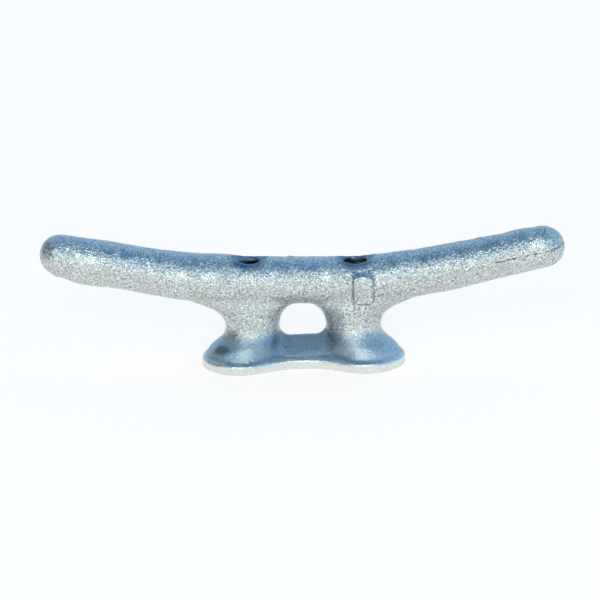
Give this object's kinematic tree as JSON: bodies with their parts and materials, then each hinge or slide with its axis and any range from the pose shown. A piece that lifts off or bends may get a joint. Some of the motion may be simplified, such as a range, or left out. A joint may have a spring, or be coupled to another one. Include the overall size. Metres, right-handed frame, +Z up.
{
  "type": "open-base horn cleat",
  "caption": "Horn cleat in rough galvanised iron: a round bar with upturned horns on two flared legs, an open window between them and a lobed base flange.",
  "frame": {"origin": "centre of the base flange's underside, on the deck", "axes": "+Z up from the deck, X along the horns, Y across them; the raised pad faces -Y on the +X leg"},
  "size_m": [0.2032, 0.0312, 0.0536],
  "materials": {
    "galvanised_iron": "hot-dip galvanised, rough as cast"
  },
  "bodies": {
    "root": {"base_flange": "galvanised_iron", "left_leg": "galvanised_iron", "right_leg": "galvanised_iron", "crossbar": "galvanised_iron", "left_horn": "galvanised_iron", "right_horn": "galvanised_iron"}
  },
  "joints": []
}
